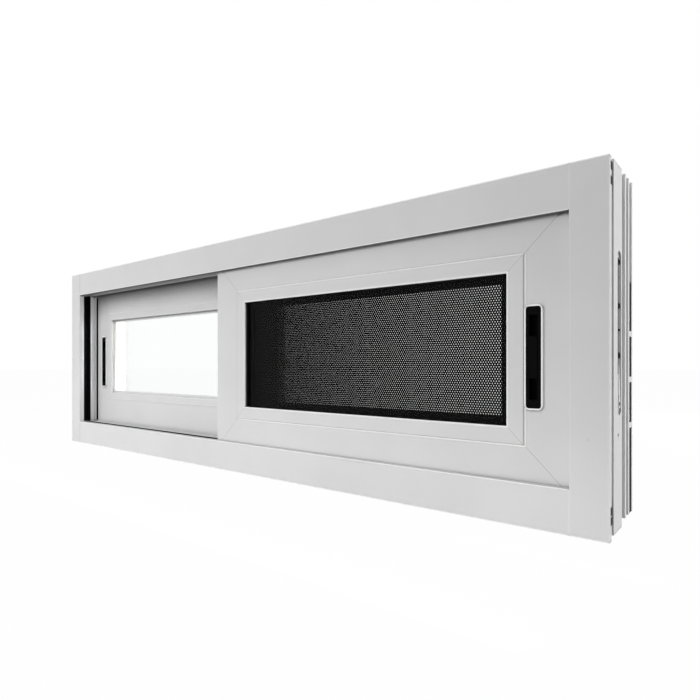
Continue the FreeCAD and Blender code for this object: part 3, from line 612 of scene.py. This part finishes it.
def screw_head(points, faces, centre, radius, height):
    """Add a domed head with a round socket, standing out along +X, to a mesh's points and faces."""
    profile = [
        (radius, 0.0),
        (radius, height * 0.35),
        (radius * 0.85, height * 0.8),
        (radius * 0.55, height),
        (radius * 0.42, height),
        (radius * 0.38, height * 0.3),
        (0.0, height * 0.3),
    ]
    first = len(points)
    for reach, rise in profile[:-1]:
        for step in range(SCREW_SIDES):
            angle = step * 2 * math.pi / SCREW_SIDES
            offset = Vector((rise, reach * math.cos(angle), reach * math.sin(angle)))
            points.append(tuple(centre + offset))
    points.append(tuple(centre + Vector((profile[-1][1], 0.0, 0.0))))
    points.append(tuple(centre))
    socket, under = len(points) - 2, len(points) - 1
    rings = len(profile) - 1
    for step in range(SCREW_SIDES):
        after = (step + 1) % SCREW_SIDES
        for ring in range(rings - 1):
            a, b = first + ring * SCREW_SIDES, first + (ring + 1) * SCREW_SIDES
            faces.append([a + step, a + after, b + after, b + step])
        last = first + (rings - 1) * SCREW_SIDES
        faces.append([last + step, last + after, socket])
        faces.append([first + after, first + step, under])


def keeper_screws(material):
    """The fasteners on the keeper plate, seen through the slot in the right jamb."""
    low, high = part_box("keeper_plate")
    points, faces = [], []
    for height, radius in KEEPER_SCREWS:
        centre = Vector((high.x, (low.y + high.y) / 2 + SCREW_SHIFT, height))
        screw_head(points, faces, centre, radius, SCREW_HEIGHT)
    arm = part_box("keeper_arm")
    height, radius = ARM_RIVET
    screw_head(points, faces, Vector((arm[1].x, arm[1].y - 2 * radius, height)), radius, 0.00018)
    mesh_object("keeper_screws", points, faces, material)


def add_bar(points, faces, section, start, end):
    """Add a closed bar to a mesh: a flat outline of offsets, carried from one place to another."""
    first, count = len(points), len(section)
    for place in (start, end):
        points += [tuple(Vector(place) + Vector(corner)) for corner in section]
    faces.append([first + number for number in range(count)])
    faces.append([first + count + number for number in range(count)])
    for number in range(count):
        after = (number + 1) % count
        faces.append([first + number, first + after, first + count + after, first + count + number])


def pile_strips(material):
    """Brush strips in the grooves under the head's fins, tuft beside tuft."""
    tips = random.Random(7)
    low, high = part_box("head_track_fins")
    count = round((high.x - low.x) / TUFT)
    half = PILE_WIDTH / 2
    points, faces = [], []
    for middle in FIN_MIDDLES:
        for number in range(count):
            tip = -PILE_HEIGHT * tips.uniform(0.8, 1.0)
            section = [
                (0.0, -half, GROOVE_DEPTH),
                (0.0, half, GROOVE_DEPTH),
                (0.0, half, tip * 0.5),
                (0.0, half * 0.6, tip),
                (0.0, -half * 0.6, tip),
                (0.0, -half, tip * 0.5),
            ]
            left = low.x + (high.x - low.x) * number / count
            right = low.x + (high.x - low.x) * (number + 1) / count
            add_bar(points, faces, section, (left, middle, low.z), (right, middle, low.z))
    mesh_object("head_pile", points, faces, material, outwards=True)


def sill_shadow_strip(material):
    """A thin black strip on the front of the sill's front fin, beside the screened sash's track, that stands
    in for the shade there.
    """
    low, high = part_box("sill_track_fins")
    section = [
        (0.0, 0.0, -SHADOW_STRIP_HEIGHT),
        (0.0, 0.0, 0.0),
        (0.0, -SHADOW_STRIP_THICKNESS, -0.0003),
        (0.0, -SHADOW_STRIP_THICKNESS, -SHADOW_STRIP_HEIGHT),
    ]
    points, faces = [], []
    top = high.z - SHADOW_STRIP_SUNK
    add_bar(points, faces, section, (low.x, low.y, top), (high.x, low.y, top))
    mesh_object("sill_shadow_strip", points, faces, material, outwards=True)


def track_strip(material):
    """A rubber strip on the bottom of the left jamb's rear track, which the rear sash shuts against."""
    low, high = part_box("left_track_buffer")
    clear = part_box("head_track_fins")[0].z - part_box("sill_track_fins")[1].z
    width = high.y - low.y
    section = [(0.0, 0.0, 0.0), (STRIP_HEIGHT, 0.0, 0.0), (STRIP_HEIGHT, width, 0.0), (0.0, width, 0.0)]
    start = Vector((low.x, REAR_TRACK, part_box("sill_track_fins")[1].z))
    points, faces = [], []
    add_bar(points, faces, section, start, start + Vector((0.0, 0.0, clear)))
    mesh_object("rear_track_strip", points, faces, material, outwards=True)


def glass_band(material):
    """A black band printed on the back of the screened sash's glass, over the screen's border."""
    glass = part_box("front_glass")
    left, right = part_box("mesh_border_left")[1].x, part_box("mesh_border_right")[0].x
    bottom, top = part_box("mesh_border_bottom")[1].z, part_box("mesh_border_top")[0].z
    reach = left - glass[0].x - SEAM_GAP
    front, back = glass[1].y - BAND_FRONT, glass[1].y - BAND_BACK
    section = [(0.0, front), (0.0, back), (reach, back), (reach, front)]
    mitred_ring("glass_band", (left, bottom), (right, top), section, material)


def notch_plugs(name, jamb, way, material):
    """Moulded plugs in a jamb's corner notches, each with a lug in the groove beside it."""
    low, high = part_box(jamb)
    surface_x = high.x if way > 0 else low.x
    outer = surface_x - way * PLUG_SUNK
    points, faces = [], []
    for down, up in NOTCH_HEIGHTS:
        for front, rear, depth in ((NOTCH_FRONT, NOTCH_BACK, PLUG_DEPTH), (NOTCH_BACK, LUG_BACK, LUG_DEPTH)):
            section = [
                (0.0, front + SEAM_GAP, down + SEAM_GAP),
                (0.0, rear, down + SEAM_GAP),
                (0.0, rear, up - SEAM_GAP),
                (0.0, front + SEAM_GAP, up - SEAM_GAP),
            ]
            add_bar(points, faces, section, (outer, 0.0, 0.0), (outer - way * depth, 0.0, 0.0))
    mesh_object(name, points, faces, material, outwards=True)


def keeper_strip(material):
    """A black strip on the keeper plate, which makes a dark line along the front edge of the slot in the
    right jamb.
    """
    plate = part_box("keeper_plate")[1].x
    section = [
        (0.0, 0.0, 0.0),
        (0.0, STRIP_WIDTH, 0.0),
        (STRIP_HEIGHT * 0.7, STRIP_WIDTH, 0.0),
        (STRIP_HEIGHT, STRIP_WIDTH * 0.7, 0.0),
        (STRIP_HEIGHT, STRIP_WIDTH * 0.2, 0.0),
        (STRIP_HEIGHT * 0.8, 0.0, 0.0),
    ]
    points, faces = [], []
    start, end = (plate, STRIP_FRONT, STRIP_LOW), (plate, STRIP_FRONT, STRIP_HIGH)
    add_bar(points, faces, section, start, end)
    mesh_object("keeper_strip", points, faces, material, outwards=True)


def mitred_ring(name, inner, outer, section, material):
    """A closed moulding round an upright rectangle: offsets out from it, and depths, one loop for each."""
    low, high = inner, outer
    points, faces = [], []
    for offset, depth in section:
        points += [
            (low[0] - offset, depth, low[1] - offset),
            (high[0] + offset, depth, low[1] - offset),
            (high[0] + offset, depth, high[1] + offset),
            (low[0] - offset, depth, high[1] + offset),
        ]
    loops = len(section)
    for loop in range(loops):
        for corner in range(4):
            a, b = loop * 4, (loop + 1) % loops * 4
            after = (corner + 1) % 4
            faces.append([a + corner, a + after, b + after, b + corner])
    return mesh_object(name, points, faces, material, outwards=True)


def bead_trim(pale, dark, gasket):
    """Round the screened sash's glazing bead: a pale seam bar and pale edge strips whose tone is a painted
    highlight, a dark seam bar of painted shade, and its gasket wedge.
    """
    left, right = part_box("front_bead_left"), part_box("front_bead_right")
    bottom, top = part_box("front_bead_bottom"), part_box("front_bead_top")
    low = Vector((left[0].x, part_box("front_lock_stile")[0].y, bottom[0].z))
    high = Vector((right[1].x, low.y, top[1].z))

    def strip(across, width):
        """A low bar's outline, going away from the bead along one axis."""
        steps = [(SEAM_GAP, 0.0), (SEAM_GAP, SEAM_RISE), (width * 0.8, SEAM_RISE), (width, 0.0)]
        return [(offset * across[0], -rise, offset * across[1]) for offset, rise in steps]

    # Painted highlight: the low bar along the bottom and the right is pale
    points, faces = [], []
    below, beside = strip((0, -1), SEAM_WIDTH), strip((1, 0), SEAM_WIDTH)
    add_bar(points, faces, below, low, (high.x + SEAM_WIDTH, low.y, low.z))
    add_bar(points, faces, beside, (high.x, low.y, low.z), high)
    mesh_object("bead_seam_highlight", points, faces, pale, outwards=True)

    # Painted shade: the low bar along the top and the left is dark, where shade falls
    points, faces = [], []
    above, behind = strip((0, 1), SHADOW_BAR_WIDTH), strip((-1, 0), SHADOW_BAR_WIDTH)
    add_bar(points, faces, above, (low.x - SHADOW_BAR_WIDTH, low.y, high.z), high)
    add_bar(points, faces, behind, low, (low.x, low.y, high.z))
    mesh_object("bead_shadow_bar", points, faces, dark, outwards=True)

    # Painted highlights: pale strips along the bead's inner edge and along its top
    face = left[0].y
    steps = [(0.0, 0.0), (0.0, EDGE_RISE), (EDGE_WIDTH * 0.9, EDGE_RISE), (EDGE_WIDTH, 0.0)]
    inner, outer = (left[1].x, bottom[1].z), (right[0].x, top[0].z)
    rim = [(offset, face - rise) for offset, rise in steps]
    mitred_ring("bead_inner_edge", inner, outer, rim, pale)
    points, faces = [], []
    crest = [(0.0, -rise, -offset) for offset, rise in steps]
    add_bar(points, faces, crest, (low.x, face, high.z), (high.x, face, high.z))
    mesh_object("bead_top_edge", points, faces, pale, outwards=True)

    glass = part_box("front_glass")[0].y
    wedge = [
        (0.0, glass),
        (0.0, glass - GASKET_HEIGHT),
        (-GASKET_WIDTH * 0.6, glass - GASKET_HEIGHT * 0.9),
        (-GASKET_WIDTH, glass),
    ]
    mitred_ring("bead_gasket", inner, outer, wedge, gasket)


def repaint(nodes, paint):
    for node in nodes:
        NODES[node].data.materials.clear()
        NODES[node].data.materials.append(paint)


def dress_sashes():
    """Paint shade under the head into the rear sash's members, its glazing and the head's fins, and into the
    underside of the head's lip; paint less corner shade on the two bottom rails; paint darker the faces and
    arrises of two beads that look down or to the right; and paint the left jamb's faces towards the right
    pale, as if lit.
    """
    # Painted shade under the head on the rear sash's members and glazing
    rear_shaded_paint = white_paint("white_powder_coat_rear", soffit=SOFFIT_SHADE)
    members = [name for name in NODES if name.startswith("rear_") and name.endswith(("_stile", "_rail"))]
    repaint(members, rear_shaded_paint)
    repaint(["rear_glazing_left", "rear_glazing_top", "rear_glazing_right", "rear_glazing_bottom"], rear_shaded_paint)
    # Less painted shade in the corners of the two bottom rails
    low_rail = white_paint("white_powder_coat_low_rail", shade=0.4)
    repaint(["rear_bottom_rail", "front_bottom_rail"], low_rail)
    # Painted shade on the underside of the head's lip
    repaint(["head_front_lip"], white_paint("white_powder_coat_lip_shaded_below", under=0.85))
    # Painted shade under the head on the head's fins
    repaint(["head_track_fins"], white_paint("white_powder_coat_fins_shaded", soffit=0.5 * SOFFIT_SHADE))
    # The left jamb's faces towards the right are painted pale, as if lit
    repaint(["left_jamb"], white_paint("white_powder_coat_jamb_painted_lit", painted_lit_side=(1.0, 0.0, 0.0)))
    # Painted shade on the bottom bead's downward and the right bead's rightward faces and arrises
    repaint(["front_bead_bottom"], white_paint("white_powder_coat_low_bead_shaded", painted_shade_side=(0.0, 0.0, -1.0)))
    repaint(["front_bead_right"], white_paint("white_powder_coat_side_bead_shaded", painted_shade_side=(1.0, 0.0, 0.0)))


def dress_nodes(materials):
    """Give every CAD node the finish of its material slot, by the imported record."""
    for part in frame["record"]["subparts"]:
        node = NODES[part["node"]]
        node.data.materials.clear()
        node.data.materials.append(materials[part["material_slot"]])


def make_stage():
    """A wide white floor that keeps a soft shadow, and a white world."""
    size = 30.0
    points = [(-size, -size, 0.0), (size, -size, 0.0), (size, size, 0.0), (-size, size, 0.0)]
    mesh = bpy.data.meshes.new("floor")
    mesh.from_pydata(points, [], [(0, 1, 2, 3)])
    floor = bpy.data.objects.new("floor", mesh)
    bpy.context.scene.collection.objects.link(floor)
    material, add, output, tree = new_material("pale_floor")
    path = add("ShaderNodeLightPath").outputs
    seen = maths(add, "MAXIMUM", path["Is Camera Ray"], path["Is Glossy Ray"])
    seen = maths(add, "MAXIMUM", seen, path["Is Transmission Ray"])
    matt = add("ShaderNodeBsdfDiffuse", {"Color": blend(add, seen, grey(FLOOR_BOUNCE), grey(0.9))})
    glow = add("ShaderNodeEmission", {"Color": grey(1.0), "Strength": 1.0})
    share = maths(add, "MULTIPLY", seen, FLOOR_GLOW)
    shader = add("ShaderNodeMixShader", {0: share, 1: matt.outputs[0], 2: glow.outputs[0]})
    surface(tree, output, shader)
    mesh.materials.append(material)

    world = bpy.data.worlds.new("white_room")
    bpy.context.scene.world = world
    world.use_nodes = True
    nodes, links = world.node_tree.nodes, world.node_tree.links
    nodes.clear()
    path = nodes.new("ShaderNodeLightPath").outputs
    seen = path["Is Camera Ray"]
    for kind in ("Is Glossy Ray", "Is Transmission Ray"):
        either = nodes.new("ShaderNodeMath")
        either.operation = "MAXIMUM"
        links.new(seen, either.inputs[0])
        links.new(path[kind], either.inputs[1])
        seen = either.outputs[0]
    strength = nodes.new("ShaderNodeMapRange")
    strength.inputs["To Min"].default_value = WORLD_LIGHT
    strength.inputs["To Max"].default_value = 1.0
    links.new(seen, strength.inputs["Value"])
    background = nodes.new("ShaderNodeBackground")
    background.inputs["Color"].default_value = grey(1.0)
    links.new(strength.outputs[0], background.inputs["Strength"])
    out = nodes.new("ShaderNodeOutputWorld")
    links.new(background.outputs[0], out.inputs["Surface"])


FLOOR_GLOW = 0.98
FLOOR_BOUNCE = 0.80
WORLD_LIGHT = 0.20

# A narrow beam along the rear bay to the left jamb: watts and spread in degrees
BAY_BEAM = ("bay_beam", (0.45, 0.15, 0.25), (-0.72, 0.05, 0.25), 0.10, 0.36, 0.38)
BEAM_SPREAD = 12.0

# Soft lamps: name, place, point aimed at, width, height, watts
LAMPS = [
    ("front_left", (-1.2, -2.5, 1.1), (0.0, 0.0, 0.25), 1.6, 1.6, 37.0),
    ("low_front", (-0.15, -0.40, 0.02), (-0.15, 0.0, 0.06), 1.8, 0.06, 1.2),
    ("low_right", (0.70, -0.18, 0.01), (0.70, -0.07, 0.03), 0.25, 0.02, 0.022),
    ("right_side", (2.6, 0.05, 0.8), (0.6, 0.0, 0.25), 1.2, 1.2, 20.0),
    ("top", (0.0, -0.9, 2.6), (0.0, 0.0, 0.25), 2.4, 1.4, 11.0),
    ("behind", (0.5, 2.0, 1.0), (0.0, 0.05, 0.25), 1.2, 1.2, 22.0),
]


def make_lamps():
    for name, place, target, width, height, watts in LAMPS + [BAY_BEAM]:
        data = bpy.data.lights.new(name, "AREA")
        data.shape = "RECTANGLE"
        data.size = width
        data.size_y = height
        data.energy = watts
        data.spread = math.radians(BEAM_SPREAD if name == BAY_BEAM[0] else 180.0)
        lamp = bpy.data.objects.new(name, data)
        lamp.location = place
        lamp.rotation_euler = (Vector(target) - Vector(place)).to_track_quat("-Z", "Y").to_euler()
        lamp.visible_camera = False
        lamp.visible_glossy = False
        bpy.context.scene.collection.objects.link(lamp)


make_camera()
MATERIALS = {
    "white_metal": white_paint("white_powder_coat"),
    "black_metal": black_paint(),
    "clear_glass": clear_glass(),
    "black_plastic": black_plastic(),
    "black_rubber": black_rubber(),
    "bare_steel": bare_steel(),
    "roller_plastic": nylon(),
}
dress_nodes(MATERIALS)
dress_sashes()
perforated_sheet(MATERIALS["black_metal"])
# Paint of the latch rims and the bead's pale strips: pale 0.93 as a painted highlight, with no painted shade
HIGHLIGHT_RIM_PAINT = white_paint("highlight_rim", 0.93, 0.0)
latch_rim("front_latch_rim", "front_latch", "front_lock_stile", HIGHLIGHT_RIM_PAINT)
latch_rim("rear_latch_rim", "rear_latch", "rear_lock_stile", HIGHLIGHT_RIM_PAINT)
keeper_screws(MATERIALS["black_metal"])
keeper_strip(MATERIALS["black_rubber"])
pile_strips(pile_fabric())
sill_shadow_strip(MATERIALS["black_rubber"])
track_strip(MATERIALS["black_rubber"])
glass_band(MATERIALS["black_metal"])
notch_plugs("left_plugs", "left_jamb", -1, MATERIALS["black_plastic"])
notch_plugs("right_plugs", "right_jamb", 1, MATERIALS["black_plastic"])
bead_trim(HIGHLIGHT_RIM_PAINT, white_paint("seam_shadow", 0.30, 0.0), MATERIALS["black_rubber"])
make_stage()
make_lamps()
bpy.context.scene.view_settings.view_transform = "Standard"
